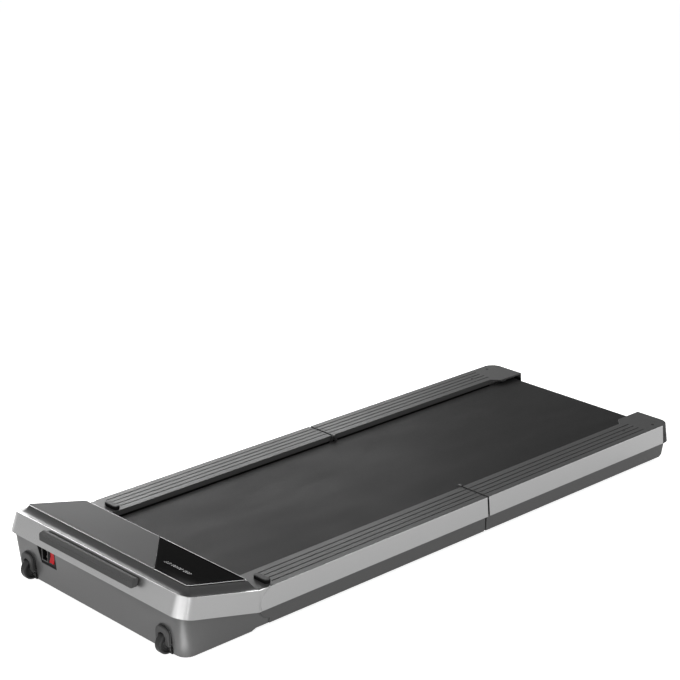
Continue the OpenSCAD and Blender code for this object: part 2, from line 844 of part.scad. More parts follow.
// Grooved top of the rear half, made in one piece with the cover round the rear corner
module foot_rail_rear(side) {
    wall = 3;
    color("#6b6b6e") on_side(side) difference() {
        union() {
            translate([0, 0, foot_low]) linear_extrude(foot_t) polygon([
                [inner_x, rear_start], [foot_x, rear_start], [foot_x, silver_end + fit_gap],
                [foot_x - 10, silver_end + 10], [hook_x, silver_end + 10], [hook_x, hook_y + hook_w],
                [inner_x, hook_y]
            ]);
            lip(rear_start, hook_y);
            intersection() {
                difference() {
                    rear_form(band_low, 0);
                    intersection() {
                        rear_form(band_low - 1, -wall);
                        translate([-pad_w, 0, 0]) cube([2 * pad_w, 2 * y_end, foot_low]);
                    }
                }
                translate([hook_x, silver_end + fit_gap, 0]) cube([pad_w, 100, 200]);
            }
        }
        grooves(rear_start - 1, groove_end);
        cap_screw_cuts(screw_d + 0.2);
        screw_places() translate([0, 0, rail_top - screw_head_h - 0.5]) cylinder(d = screw_head_d + 0.6, h = 10);
        rod_y(bolt_x, silver_end, y_end + bolt_head_d, roller_z, bolt_head_d + 2);
    }
}

module foot_rail_rear_left() { foot_rail_rear(-1); }
module foot_rail_rear_right() { foot_rail_rear(1); }

module cap_screws() {
    color("#2c2c2e") both_sides() screw_places() {
        translate([0, 0, rail_top - screw_head_h - 0.5]) cylinder(d = screw_head_d, h = screw_head_h);
        translate([0, 0, foot_low - 14]) cylinder(d = screw_d, h = 14 + foot_t - screw_head_h - 0.5 + eps);
    }
}

// Rubber blocks that the folded rear half comes down on. They aren't mirror images: the left one stands near the
// belt and the right one near the outside.
module fold_bumpers() {
    r = bumper_l / 2 - 1;
    color("#3a3a3c") for (x = bumper_places) translate([x - bumper_w / 2, bumper_y, rail_top]) {
        linear_extrude(bumper_h - 1.2) bumper_plan(r, 0);
        translate([0, 0, bumper_h - 1.2]) linear_extrude(1.2) bumper_plan(r, 1);
    }
}

module bumper_plan(r, d) {
    translate([r + 1, d]) square([bumper_w - 2 * r - 2, bumper_l - 2 * d]);
    for (x = [r + 1, bumper_w - r - 1])
        translate([x, bumper_l / 2]) circle(r + 1 - d);
}

// Frames, decks and underside

module deck(y0, y1) {
    translate([-deck_w / 2, y0, deck_low]) cube([deck_w, y1 - y0, deck_t]);
}

module front_deck() {
    color("#2b2622") deck(drive_y + loop_r + 12, front_end);
}

module rear_deck() {
    color("#2b2622") deck(rear_start, idler_y - loop_r - 8);
}

// Rubber strips between the cross tubes and the deck
module deck_cushions(places, w) {
    color("#151515") for (y = places)
        translate([-deck_w / 2 + 20, y - w / 2, beam_top]) cube([deck_w - 40, w, cushion_t]);
}

module front_deck_cushions() {
    deck_cushions(front_beams, beam_w - 12);
    deck_cushions([bay_beam_y], bay_beam_w - 6);
}

module rear_deck_cushions() { deck_cushions(rear_beams, beam_w - 12); }

// Square tube across the pad, centred at y with its top at z
module cross_tube(hw, y, w, z, h) {
    along_x(-hw, hw) difference() {
        translate([y - w / 2, z - h]) square([w, h]);
        translate([y - w / 2 + tube_wall, z - h + tube_wall]) square([w - 2 * tube_wall, h - 2 * tube_wall]);
    }
}

// Two side plates joined by cross tubes that pass between the runs of the belt
module ladder(y0, y1, places) {
    both_sides() translate([ladder_x, y0, ladder_low]) cube([plate_t, y1 - y0, ladder_top - ladder_low]);
    for (y = places)
        cross_tube(ladder_x + eps, y, beam_w, beam_top, beam_h);
}

// Ladder of the front half, with the motor bay's side plates and cross tubes in front of it
module front_frame() {
    bay_end = bay_beam_y + bay_beam_w / 2;
    color("#33363a") difference() {
        union() {
            ladder(bay_end - bay_beam_w, front_beams[len(front_beams) - 1] + beam_w / 2 + 2, front_beams);
            both_sides() along_x(bay_x, bay_x + plate_t) polygon([
                [bay_start, bay_low], [bay_start + 36, bay_low], [bay_end, beam_top - beam_h],
                [bay_end, beam_top], [drive_y + 26, motor_z + 12], [bay_start, motor_z + 12]
            ]);
            cross_tube(bay_x + eps, bay_beam_y, bay_beam_w, beam_top, beam_h);
            cross_tube(bay_x + eps, bay_start + tube_w / 2, tube_w, tube_top, tube_top - bay_low);
        }
        rod_x(-pad_w, pad_w, drive_y, roller_z, shaft_d + 2 * run_gap);
    }
}

// Ladder of the rear half, slotted for the idler shaft and with lugs for the tension bolts
module rear_frame() {
    end = idler_y + 12;
    slot = shaft_d + 2 * run_gap;
    color("#33363a") difference() {
        union() {
            ladder(rear_beams[0] - beam_w / 2 - 2, end + 4, rear_beams);
            both_sides() translate([bolt_x - 4.2, end, ladder_low])
                cube([ladder_x + eps - bolt_x + 4.2, 4, ladder_top - ladder_low]);
        }
        along_x(-pad_w, pad_w) {
            translate([idler_y - 10, roller_z - slot / 2]) square([10, slot]);
            for (y = [idler_y - 10, idler_y])
                translate([y, roller_z]) circle(d = slot);
        }
        both_sides() rod_y(bolt_x, end - 1, end + 5, roller_z, bolt_d + 0.4);
    }
}

// Thin cover under the belt with shallow ribs pressed into it
module base_pan(y0, y1) {
    hw = foot_flange_x - fit_gap;
    pan_t = 1.6;
    z = skirt_bottom + skirt_t - pan_t;
    ribs = floor((y1 - y0 - 40) / 90);
    translate([-hw, y0, z]) cube([2 * hw, y1 - y0, pan_t]);
    for (i = [0:ribs - 1])
        translate([-web_x + 20, y0 + 40 + i * (y1 - y0 - 80) / max(1, ribs - 1) - 5, z + pan_t - eps])
            cube([2 * (web_x - 20), 10, 2.5]);
}

module front_base_pan() {
    color("#3b3b3e") base_pan(house_step_y + house_step_l + fit_gap, front_end);
}

module rear_base_pan() {
    color("#3b3b3e") base_pan(rear_start, y_end - 40);
}

module feet(places, low, h) {
    for (p = places)
        translate([p[0], p[1], low]) {
            cylinder(d1 = foot_d - 3, d2 = foot_d, h = 1.5);
            translate([0, 0, 1.5]) cylinder(d = foot_d, h = h - 1.5);
        }
}

module front_feet() {
    color("#202022") both_sides() {
        feet([[foot_x_front, foot_front_y]], 0, housing_bottom);
        feet([[foot_x_rail, front_end - 38]], 0, skirt_bottom);
    }
}

module rear_feet() {
    color("#202022") both_sides()
        feet([[foot_x_rail, rear_start + 38], [foot_x_rail, y_end - 60]], 0, skirt_bottom);
}

// Fold hinge. The ears stand in the gaps beside the belt and their pins lie just above the rail tops.

// Ear drawn in Y and Z about the pin, its foot reaching away from the fold line
module ear_outline() {
    arm_z = lip_bottom - hinge_z - 1.5;
    circle(ear_r);
    polygon([
        [-ear_r, 0], [0, -ear_r], [-4.5, arm_z], [-ear_foot_y0, arm_z], [-ear_foot_y0, ear_low - hinge_z],
        [-ear_foot_y1, ear_low - hinge_z], [-ear_foot_y1, arm_z], [-14, arm_z], [-8, arm_z + 6]
    ]);
}

module ear(x, back, bore) {
    translate([0, front_len, hinge_z]) mirror([0, back, 0]) difference() {
        union() {
            along_x(x, x + ear_t) ear_outline();
            along_x(x, web_x - fit_gap) translate([-ear_foot_y1, ear_low - hinge_z])
                square([ear_foot_y1 - ear_foot_y0, lip_bottom - 1.5 - ear_low]);
        }
        rod_x(x - 1, x + ear_t + 1, 0, 0, bore);
    }
}

module hinge_ears_front() {
    color("#55585c") both_sides() ear(front_ear_x, 0, hinge_pin_d + 2 * run_gap);
}

module hinge_ears_rear() {
    color("#55585c") both_sides() ear(rear_ear_x, 1, hinge_pin_d + 2 * run_gap);
}

module hinge_pins() {
    color("silver") both_sides() {
        rod_x(rear_ear_x - 0.6, front_ear_x + ear_t, front_len, hinge_z, hinge_pin_d);
    }
}

// Rollers

module roller_tube(x0, x1) {
    difference() {
        rod_x(x0, x1, 0, 0, roller_d);
        rod_x(x0 - 1, x1 + 1, 0, 0, roller_d - 2 * roller_wall);
    }
}

// Bearings pressed into both ends of a roller tube
module bearings() {
    od = roller_d - 2 * roller_wall;
    color("#b9bcc0") both_sides() difference() {
        rod_x(tube_hw - 12, tube_hw - 1, 0, 0, od);
        rod_x(tube_hw - 13, tube_hw + 1, 0, 0, shaft_d + 2 * run_gap);
        translate([tube_hw - 2, 0, 0]) rotate([0, 90, 0]) difference() {
            cylinder(d = od - 6, h = 5);
            cylinder(d = shaft_d + 6, h = 12, center = true);
        }
    }
}

// Ring of ribs and grooves for the ribbed drive belt
module pulley(d, bore, ribs) {
    pitch = pulley_w / (ribs + 1);
    difference() {
        rod_x(pulley_x, pulley_x + pulley_w, 0, 0, d);
        for (i = [1:ribs])
            translate([pulley_x + i * pitch, 0, 0]) rotate([0, 90, 0]) rotate_extrude()
                polygon([[d / 2 - 1.2, 0], [d / 2 + 1, -1.6], [d / 2 + 1, 1.6]]);
        rod_x(0, pad_w, 0, 0, bore);
    }
}

module drive_roller() {
    color("#8d9196") translate([0, drive_y, roller_z]) {
        roller_tube(-tube_hw, tube_hw);
        difference() {
            rod_x(tube_hw - eps, pulley_x + eps, 0, 0, roller_d - 1);
            rod_x(tube_hw - 1, pulley_x + 1, 0, 0, roller_d - 2 * roller_wall - 2);
        }
        pulley(roller_pulley_d, roller_d - 2 * roller_wall - 2, 5);
    }
}

module drive_roller_bearings() {
    translate([0, drive_y, roller_z]) bearings();
}

module drive_roller_shaft() {
    color("#a9adb1") rod_x(-bay_x - plate_t - 4, bay_x + plate_t + 4, drive_y, roller_z, shaft_d);
}

module idler_roller() {
    color("#8d9196") translate([0, idler_y, roller_z]) roller_tube(-tube_hw, tube_hw);
}

module idler_roller_bearings() {
    translate([0, idler_y, roller_z]) bearings();
}

// Shaft of the rear roller, cross-drilled near both ends for the tension bolts
module idler_roller_shaft() {
    color("#a9adb1") difference() {
        rod_x(-ladder_x - plate_t, ladder_x + plate_t, idler_y, roller_z, shaft_d);
        both_sides() rod_y(bolt_x, idler_y - shaft_d, idler_y + shaft_d, roller_z, bolt_d + 0.2);
    }
}

module tension_bolts() {
    end = idler_y + bolt_reach;
    color("#6e7276") both_sides() difference() {
        union() {
            rod_y(bolt_x, idler_y - shaft_d / 2 - 4, end + fit_gap + eps, roller_z, bolt_d);
            rod_y(bolt_x, end + fit_gap, end + fit_gap + 5, roller_z, bolt_head_d);
        }
        translate([bolt_x, end + fit_gap + 2.5, roller_z]) rotate([-90, 0, 0]) cylinder(d = 5, h = 4, $fn = 6);
    }
}

// Motor and drive

module motor_case() {
    wall = 4;
    color("#2f3236") translate([0, motor_y, motor_z]) difference() {
        rod_x(motor_x0, motor_x0 + motor_len, 0, 0, motor_d);
        rod_x(motor_x0 + 8, motor_x0 + motor_len - 8, 0, 0, motor_d - 2 * wall);
        rod_x(motor_x0 - 1, motor_x0 + motor_len + 1, 0, 0, motor_shaft_d + 2 * run_gap);
    }
}

// Everything that turns in the motor: shaft, armature, flywheel and pulley
module motor_rotor() {
    color("#7c8084") translate([0, motor_y, motor_z]) {
        rod_x(motor_x0 + 2, pulley_x + 1, 0, 0, motor_shaft_d);
        rod_x(motor_x0 + 22, motor_x0 + motor_len - 26, 0, 0, motor_d - 20);
        rod_x(motor_x0 + motor_len + 18, motor_x0 + motor_len + 38, 0, 0, motor_d - 2);
        pulley(motor_pulley_d, motor_shaft_d - 1, 5);
    }
}

// Saddle that carries the motor on the frame's cross tube
module motor_mount() {
    color("#33363a") for (x = [motor_x0 + 15, motor_x0 + motor_len - 35])
        along_x(x, x + 20) difference() {
            translate([bay_start, tube_top]) square([tube_w, motor_z - tube_top - 10]);
            translate([motor_y, motor_z]) circle(d = motor_d + 2 * run_gap);
        }
}

// Points along an arc round a centre in Y and Z
function arc(c, r, from, to, steps) =
    [for (i = [0:steps]) c + r * [cos(from + (to - from) * i / steps), sin(from + (to - from) * i / steps)]];

// Outline of an open belt round the two pulleys, drawn in Y and Z
module belt_outline(r1, r2) {
    motor = [motor_y, motor_z];
    roller = [drive_y, roller_z];
    turn = atan2(roller_z - motor_z, drive_y - motor_y);
    lean = acos((r1 - r2) / norm(roller - motor));
    polygon(concat(
        arc(motor, r1, turn + lean, turn + 360 - lean, 24),
        arc(roller, r2, turn - lean, turn + lean, 36)
    ));
}

module drive_belt() {
    r1 = motor_pulley_d / 2 + 0.3;
    r2 = roller_pulley_d / 2 + 0.3;
    color("#1a1a1a") along_x(pulley_x + 1, pulley_x + pulley_w - 1) difference() {
        belt_outline(r1 + vbelt_t, r2 + vbelt_t);
        belt_outline(r1, r2);
    }
}

// Speed controller: a closed box on the cross tube, with cooling fins on top
module controller_case() {
    w = 100;
    fins = 9;
    color("#3f4347") translate([-bay_x + 6, bay_start + 4, tube_top]) {
        cube([w, 44, 34]);
        for (i = [0:fins - 1])
            translate([4 + i * (w - 11) / (fins - 1), 3, 34 - eps]) cube([3, 38, 12]);
    }
}

// Running belt. One closed band on the real pad, drawn as the lengths that lie on each half.

// Area inside a belt of the given radius that wraps a roller at y and runs to the fold line
module belt_run(y, r) {
    translate([y, roller_z]) circle(r);
    translate([min(y, front_len), roller_z - r]) square([abs(front_len - y), 2 * r]);
}

module running_belt(y, back) {
    color("#26282a") intersection() {
        along_x(-belt_w / 2, belt_w / 2) difference() {
            belt_run(y, loop_r);
            belt_run(y, wrap_r);
        }
        translate([-pad_w, back > 0 ? front_len + 0.2 : -50, 0]) cube([2 * pad_w, back > 0 ? y_end : front_len + 49.8, 200]);
    }
}

module running_belt_front() { running_belt(drive_y, 0); }
module running_belt_rear() { running_belt(idler_y, 1); }

place() lower_housing();
place() housing_band();
place() upper_cover();
place() panel_plate();
place() display_glass();
place() display_board();
place() stand_bar();
place() wheel_bracket_left();
place() wheel_bracket_right();
place() wheel_axles();
place() wheel_left();
place() wheel_right();
place() inlet_cup();
place() inlet_socket();
place() inlet_pins();
place() switch_frame();
place() rocker();
place() side_rail_front_left();
place() side_rail_front_right();
place() side_rail_rear_left();
place() side_rail_rear_right();
place() foot_rail_front_left();
place() foot_rail_front_right();
place() foot_rail_rear_left();
place() foot_rail_rear_right();
place() skirt_front_left();
place() skirt_front_right();
place() skirt_rear_left();
place() skirt_rear_right();
place() front_deck();
place() rear_deck();
place() front_deck_cushions();
place() rear_deck_cushions();
place() front_frame();
place() rear_frame();
place() front_base_pan();
place() rear_base_pan();
place() hinge_ears_front();
place() hinge_ears_rear();
place() hinge_pins();
place() rail_plugs_front();
place() rail_plugs_rear();
place() drive_roller();
place() drive_roller_bearings();
place() drive_roller_shaft();
place() idler_roller();
place() idler_roller_bearings();
place() idler_roller_shaft();
place() tension_bolts();
place() motor_case();
place() motor_rotor();
place() motor_mount();
place() drive_belt();
place() controller_case();
place() running_belt_front();
place() running_belt_rear();
place() cap_screws();
place() fold_bumpers();
place() front_feet();
place() rear_feet();
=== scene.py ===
"""Looks of a folding walking pad: finishes, softened edges, small details, studio and camera."""

import json
import math

import bmesh
import bpy
from bpy.props import FloatProperty, FloatVectorProperty, PointerProperty
from mathutils import Matrix, Vector


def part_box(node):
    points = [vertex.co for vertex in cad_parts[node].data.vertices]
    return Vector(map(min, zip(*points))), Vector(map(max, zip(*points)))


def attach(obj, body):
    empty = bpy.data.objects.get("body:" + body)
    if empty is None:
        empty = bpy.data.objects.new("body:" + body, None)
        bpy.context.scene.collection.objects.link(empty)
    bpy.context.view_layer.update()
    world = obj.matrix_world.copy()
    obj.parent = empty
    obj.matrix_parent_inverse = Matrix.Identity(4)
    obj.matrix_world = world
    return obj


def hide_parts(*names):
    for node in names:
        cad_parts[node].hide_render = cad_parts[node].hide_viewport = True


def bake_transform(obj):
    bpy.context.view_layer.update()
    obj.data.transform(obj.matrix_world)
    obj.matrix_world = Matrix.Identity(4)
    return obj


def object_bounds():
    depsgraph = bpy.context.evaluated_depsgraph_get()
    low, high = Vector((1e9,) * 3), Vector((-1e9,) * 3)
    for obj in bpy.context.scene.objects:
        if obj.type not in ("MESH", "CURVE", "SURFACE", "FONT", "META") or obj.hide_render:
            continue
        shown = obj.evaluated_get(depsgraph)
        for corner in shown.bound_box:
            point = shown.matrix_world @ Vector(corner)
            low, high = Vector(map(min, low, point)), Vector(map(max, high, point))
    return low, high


bl_info = {
    "name": "Walking Pad",
    "version": (1, 1, 0),
    "blender": (4, 5, 0),
    "location": "View3D > Sidebar > Walking Pad",
    "description": "Finishes, softened edges, details and studio for a folding walking pad",
    "category": "Object",
}

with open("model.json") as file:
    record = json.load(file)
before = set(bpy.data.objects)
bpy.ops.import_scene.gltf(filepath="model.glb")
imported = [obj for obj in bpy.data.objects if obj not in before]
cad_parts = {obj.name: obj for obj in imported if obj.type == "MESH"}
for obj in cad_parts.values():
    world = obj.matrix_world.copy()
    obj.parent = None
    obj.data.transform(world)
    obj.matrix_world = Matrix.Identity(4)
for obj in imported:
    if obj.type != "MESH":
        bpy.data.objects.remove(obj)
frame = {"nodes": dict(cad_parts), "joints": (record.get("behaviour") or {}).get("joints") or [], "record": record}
CAD_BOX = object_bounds()
NODES = frame["nodes"]
BODY_OF = {node: body for body, nodes in frame["record"]["behaviour"]["bodies"].items() for node in nodes}
FOLD_Y = next(joint for joint in frame["joints"] if joint["name"] == "deck_fold")["pos_m"][1]
BELT_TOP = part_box("running_belt_front")[1].z
RAIL_INNER_X = -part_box("side_rail_front_left")[1].x
BUMPER_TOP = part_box("fold_bumpers")[1].z
HOOD_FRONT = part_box("wheel_bracket_left")[0].y
SOCKET_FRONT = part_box("inlet_socket")[0].y

# Points nearer to each other than TOUCH are one point, and faces that turn less than FLAT are one face.
TOUCH = 0.00001
FLAT = math.radians(0.4)

# The belt's edges are sharp where they turn more than CREASE. The slanted joint in the top panel reaches
# further than FAR both across and along the pad.
CREASE = math.radians(30.0)
FAR = 0.03

# What the display shows. Advances, levels of dots and widths of marks are in heights of a digit.
READING = "0.0 00:00 000"
ADVANCE = {"0": 0.8, ":": 0.4, ".": 0.3, " ": 0.7}
MARKS = {":": (-0.2, 0.2), ".": (-0.5,)}
DOT = 0.14
DIGIT_WIDTH = 0.5
DIGIT_STROKE = 0.13

# Middle of the reading, across the pad and up the glass, and the thickness of its ink, in metres.
DIGITS_AT = (0.158, 0.053)
PRINT_THICKNESS = 0.00005

# Where a second colour starts, in metres from the edge or face that it is measured from. The second colours are
# painted shade below the belt's edges, inside the socket and in the hoods' grooves and joints, and a painted
# highlight on the bumpers' tops.
PAINTED_SHADE_BELOW_BELT = 0.0014
BUMPER_HIGHLIGHT_DEPTH = 0.0013
SOCKET_RIM = 0.001
HOOD_GROOVE_SHADE = (0.0038, 0.006)
HOOD_JOINT_SHADE = 0.007


# Shader maths


class Wire:
    """One output socket. Arithmetic on it adds Math nodes."""

    def __init__(self, shading, socket):
        self.shading = shading
        self.socket = socket

    def maths(self, operation, first, second):
        return self.shading.node("ShaderNodeMath", {"operation": operation}, {0: first, 1: second})

    def __add__(self, other):
        return self.maths("ADD", self, other)

    def __sub__(self, other):
        return self.maths("SUBTRACT", self, other)

    def __mul__(self, other):
        return self.maths("MULTIPLY", self, other)

    def __lt__(self, other):
        return self.maths("LESS_THAN", self, other)

    def __gt__(self, other):
        return self.maths("GREATER_THAN", self, other)

    def absolute(self):
        return self.maths("ABSOLUTE", self, 0.0)

    def sine(self):
        return self.maths("SINE", self, 0.0)


class Shading:
    """The nodes of a material or a world."""

    def __init__(self, owner):
        owner.use_nodes = True
        self.tree = owner.node_tree
        self.tree.nodes.clear()

    def node(self, kind, settings=None, sockets=None, out=0):
        made = self.tree.nodes.new(kind)
        for key, value in (settings or {}).items():
            setattr(made, key, value)
        for key, value in (sockets or {}).items():
            if isinstance(value, Wire):
                self.tree.links.new(value.socket, made.inputs[key])
            elif isinstance(value, tuple) and made.inputs[key].type == "RGBA":
                made.inputs[key].default_value = (*value, 1.0)
            else:
                made.inputs[key].default_value = value
        return Wire(self, made.outputs[out])

    def seen(self):
        """1 where the studio is seen directly, in a reflection or through glass, 0 where it gives light."""
        rays = self.tree.nodes.new("ShaderNodeLightPath")
        camera, glossy, through = (Wire(self, rays.outputs[f"Is {kind} Ray"])
                                   for kind in ("Camera", "Glossy", "Transmission"))
        return camera + glossy + through

    def light(self, kind, strength):
        """White light of a given strength."""
        return self.node(kind, None, {"Color": (1.0, 1.0, 1.0), "Strength": strength})

    def shown(self, shader, kind="ShaderNodeOutputMaterial"):
        out = self.tree.nodes.new(kind)
        self.tree.links.new(shader.socket, out.inputs["Surface"])


class Finish(Shading):
    """A node material."""

    def __init__(self, name):
        self.material = bpy.data.materials.new(name)
        super().__init__(self.material)

    def place(self, scale=(1.0, 1.0, 1.0), turn=(0.0, 0.0, 0.0)):
        """Object coordinates, scaled and turned."""
        here = self.node("ShaderNodeTexCoord", out="Object")
        return self.node("ShaderNodeMapping", {"vector_type": "POINT"},
                         {"Vector": here, "Scale": scale, "Rotation": turn})

    def parts(self, vector):
        split = self.tree.nodes.new("ShaderNodeSeparateXYZ")
        self.tree.links.new(vector.socket, split.inputs[0])
        return [Wire(self, output) for output in split.outputs]

    def noise(self, where, scale, detail=3.0, rough=0.55):
        return self.node("ShaderNodeTexNoise", None,
                         {"Vector": where, "Scale": scale, "Detail": detail, "Roughness": rough})

    def between(self, factor, low, high):
        """Colour between two colours."""
        return self.node("ShaderNodeMix", {"data_type": "RGBA"}, {0: factor, 6: low, 7: high}, out=2)

    def spread(self, noise, low, high):
        """Value between low and high, which a noise reaches at 0.3 and 0.7."""
        return self.node("ShaderNodeMapRange", None, {0: noise, 1: 0.3, 2: 0.7, 3: low, 4: high})

    def bump(self, height, depth):
        return self.node("ShaderNodeBump", None, {"Height": height, "Distance": depth})

    def surface(self, **sockets):
        named = {key.replace("_", " "): value for key, value in sockets.items()}
        self.shown(self.node("ShaderNodeBsdfPrincipled", None, named))
        return self.material


def shade(colour, factor):
    return tuple(channel * factor for channel in colour)


# Finishes


def moulded_plastic(name, colour, roughness=0.5, grain=0.00005, specular=0.25, second=None):
    """Spark-eroded plastic: a fine grain, with slow changes of tone and gloss.

    second is another colour and a rule on X, Y and Z that says where it is painted; every piece here uses it for
    painted shade.
    """
    finish = Finish(name)
    where = finish.place()
    fine = finish.noise(where, 2600.0, 2.0)
    slow = finish.noise(where, 9.0, 3.0)
    tone = finish.between(slow, shade(colour, 0.95), shade(colour, 1.05))
    if second:
        other, rule = second
        # Painted shade where the rule holds.
        tone = finish.between(rule(*finish.parts(where)), tone, other)
    gloss = finish.spread(slow * 0.6 + fine * 0.4, roughness - 0.05, roughness + 0.06)
    return finish.surface(Base_Color=tone, Roughness=gloss, Normal=finish.bump(fine, grain),
                          Specular_IOR_Level=specular)


def brushed_metal(name, colour, along, roughness=0.34, metallic=0.75, streak=0.06):
    """Anodised or lacquered metal with fine streaks along one axis."""
    finish = Finish(name)
    scale = tuple(14.0 if axis == along else 2400.0 for axis in range(3))
    streaks = finish.noise(finish.place(scale), 1.0, 2.0, 0.6)
    slow = finish.noise(finish.place(), 6.0, 2.0)
    tone = finish.between(streaks, shade(colour, 1.0 - streak), shade(colour, 1.0 + streak))
    gloss = finish.spread(streaks * 0.5 + slow * 0.5, roughness - 0.05, roughness + 0.05)
    return finish.surface(Base_Color=tone, Roughness=gloss, Metallic=metallic, Specular_IOR_Level=0.002,
                          Normal=finish.bump(streaks, 0.000012))


def silver_lacquer(name, colour, roughness=0.33, metallic=0.9):
    """Satin silver lacquer with a fine sparkle."""
    finish = Finish(name)
    where = finish.place()
    sparkle = finish.noise(where, 3800.0, 1.0)
    slow = finish.noise(where, 5.0, 2.0)
    tone = finish.between(slow * 0.7 + sparkle * 0.3, shade(colour, 0.95), shade(colour, 1.05))
    gloss = finish.spread(sparkle, roughness - 0.06, roughness + 0.06)
    return finish.surface(Base_Color=tone, Roughness=gloss, Metallic=metallic,
                          Normal=finish.bump(sparkle, 0.00001))


def pressed_belt(name, colour):
    """Running belt: a fine pressed diamond grain with slow changes of tone along it."""
    finish = Finish(name)
    x, y = finish.parts(finish.place())[:2]
    pitch = 2.0 * math.pi / 0.0022
    diamonds = ((x + y * 0.6) * pitch).sine() * ((x - y * 0.6) * pitch).sine()
    slow = finish.noise(finish.place((3.0, 1.0, 3.0)), 5.0, 2.0)
    fine = finish.noise(finish.place(), 1500.0, 2.0)
    tone = finish.between(slow * 0.5 + fine * 0.5, shade(colour, 0.92), shade(colour, 1.08))
    gloss = finish.spread(slow, 0.5, 0.58)
    return finish.surface(Base_Color=tone, Roughness=gloss, Specular_IOR_Level=0.02,
                          Normal=finish.bump(diamonds * 0.7 + fine * 0.6, 0.00005))


def rubber(name, colour, roughness=0.7, specular=0.2, painted_highlight_above=None):
    """Moulded rubber. The last argument, a height and a lighter colour, paints a highlight on the faces above that
    height.
    """
    finish = Finish(name)
    where = finish.place()
    fine = finish.noise(where, 900.0, 4.0)
    slow = finish.noise(where, 30.0, 3.0)
    tone = finish.between(slow, shade(colour, 0.88), shade(colour, 1.15))
    # Painted highlight: lighter above the height, standing in for light falling on the top face.
    if painted_highlight_above:
        height, light = painted_highlight_above
        tone = finish.between(finish.parts(where)[2] > height, tone, light)
    gloss = finish.spread(fine, roughness - 0.08, roughness + 0.08)
    return finish.surface(Base_Color=tone, Roughness=gloss, Specular_IOR_Level=specular,
                          Normal=finish.bump(fine, 0.00008))


def black_glass(name, colour):
    """Back-painted glass, dimmed by an anti-glare layer, with faint smears in its gloss."""
    finish = Finish(name)
    smear = finish.noise(finish.place((4.0, 14.0, 4.0), (0.0, 0.0, 0.6)), 3.0, 4.0)
    slow = finish.noise(finish.place(), 4.0, 2.0)
    tone = finish.between(slow, shade(colour, 0.9), shade(colour, 1.1))
    gloss = finish.spread(smear, 0.03, 0.05)
    return finish.surface(Base_Color=tone, Roughness=gloss, Specular_IOR_Level=0.001)


def turned_steel(name, colour, roughness=0.3):
    """Bare steel with fine turning marks round the X axis."""
    finish = Finish(name)
    marks = finish.noise(finish.place((3000.0, 30.0, 30.0)), 1.0, 2.0)
    stain = finish.noise(finish.place(), 25.0, 4.0)
    tone = finish.between(stain, shade(colour, 0.85), shade(colour, 1.08))
    gloss = finish.spread(marks * 0.5 + stain * 0.5, roughness - 0.08, roughness + 0.12)
    return finish.surface(Base_Color=tone, Roughness=gloss, Metallic=1.0,
                          Normal=finish.bump(marks, 0.00001))


def powder_coat(name, colour, roughness=0.45):
    """Powder coated steel with orange peel."""
    finish = Finish(name)
    where = finish.place()
    peel = finish.noise(where, 700.0, 2.0)
    slow = finish.noise(where, 12.0, 3.0)
    tone = finish.between(slow, shade(colour, 0.9), shade(colour, 1.1))
    gloss = finish.spread(peel, roughness - 0.05, roughness + 0.08)
    return finish.surface(Base_Color=tone, Roughness=gloss, Normal=finish.bump(peel, 0.00006))


def faced_board(name, colour):
    """Deck board with a waxed black face and faint fibres along the pad."""
    finish = Finish(name)
    fibres = finish.noise(finish.place((600.0, 20.0, 600.0)), 1.0, 4.0)
    slow = finish.noise(finish.place(), 8.0, 3.0)
    tone = finish.between(fibres * 0.6 + slow * 0.4, shade(colour, 0.8), shade(colour, 1.3))
    gloss = finish.spread(slow, 0.5, 0.68)
    return finish.surface(Base_Color=tone, Roughness=gloss, Normal=finish.bump(fibres, 0.00005))


def circuit_board(name, colour):
    """Green lacquer over copper tracks."""
    finish = Finish(name)
    x, y = finish.parts(finish.place())[:2]
    tracks = ((x * 2500.0).sine() * (y * 1700.0).sine()) > 0.2
    tone = finish.between(tracks, colour, shade(colour, 1.7))
    slow = finish.noise(finish.place(), 60.0, 3.0)
    gloss = finish.spread(slow, 0.25, 0.4)
    return finish.surface(Base_Color=tone, Roughness=gloss, Normal=finish.bump(tracks, 0.00004))


def lit_digit(name, colour, strength):
    """Pale ink of the display's digits, faintly lit from below."""
    finish = Finish(name)
    slow = finish.noise(finish.place(), 300.0, 2.0)
    tone = finish.between(slow, shade(colour, 0.9), colour)
    gloss = finish.spread(slow, 0.4, 0.5)
    return finish.surface(Base_Color=tone, Roughness=gloss, Emission_Color=tone, Emission_Strength=strength)


# Sizes and colours that a user may change


def colour_setting(name, description, default):
    return FloatVectorProperty(name=name, description=description, subtype="COLOR", size=3,
                               min=0.0, max=1.0, default=default)


def grey_setting(name, description, value):
    return colour_setting(name, description, (value, value, value))


class PadColours(bpy.types.PropertyGroup):
    silver: grey_setting("Silver", "Lacquer of the housing band and the side rails", 0.303)
    panel: grey_setting("Panel", "Metal plate on the housing", 0.121)
    foot_rail: grey_setting("Foot rails", "Grooved plastic of the foot rails", 0.067)
    shell: grey_setting("Shell", "Lower housing and skirts", 0.073)
    cover: grey_setting("Cover", "Hollow lip round the top panel", 0.065)
    bar: grey_setting("Stand bar", "Plastic of the stand bar", 0.082)
    belt: grey_setting("Belt", "Running belt", 0.0175)
    black: grey_setting("Black", "Wheels, pockets and inlet", 0.018)
    rocker: colour_setting("Rocker", "Rocker of the power switch", (0.50, 0.006, 0.012))
    glass: grey_setting("Glass", "Paint behind the display glass", 0.002)
    digits: grey_setting("Digits", "Digits of the display", 0.14)


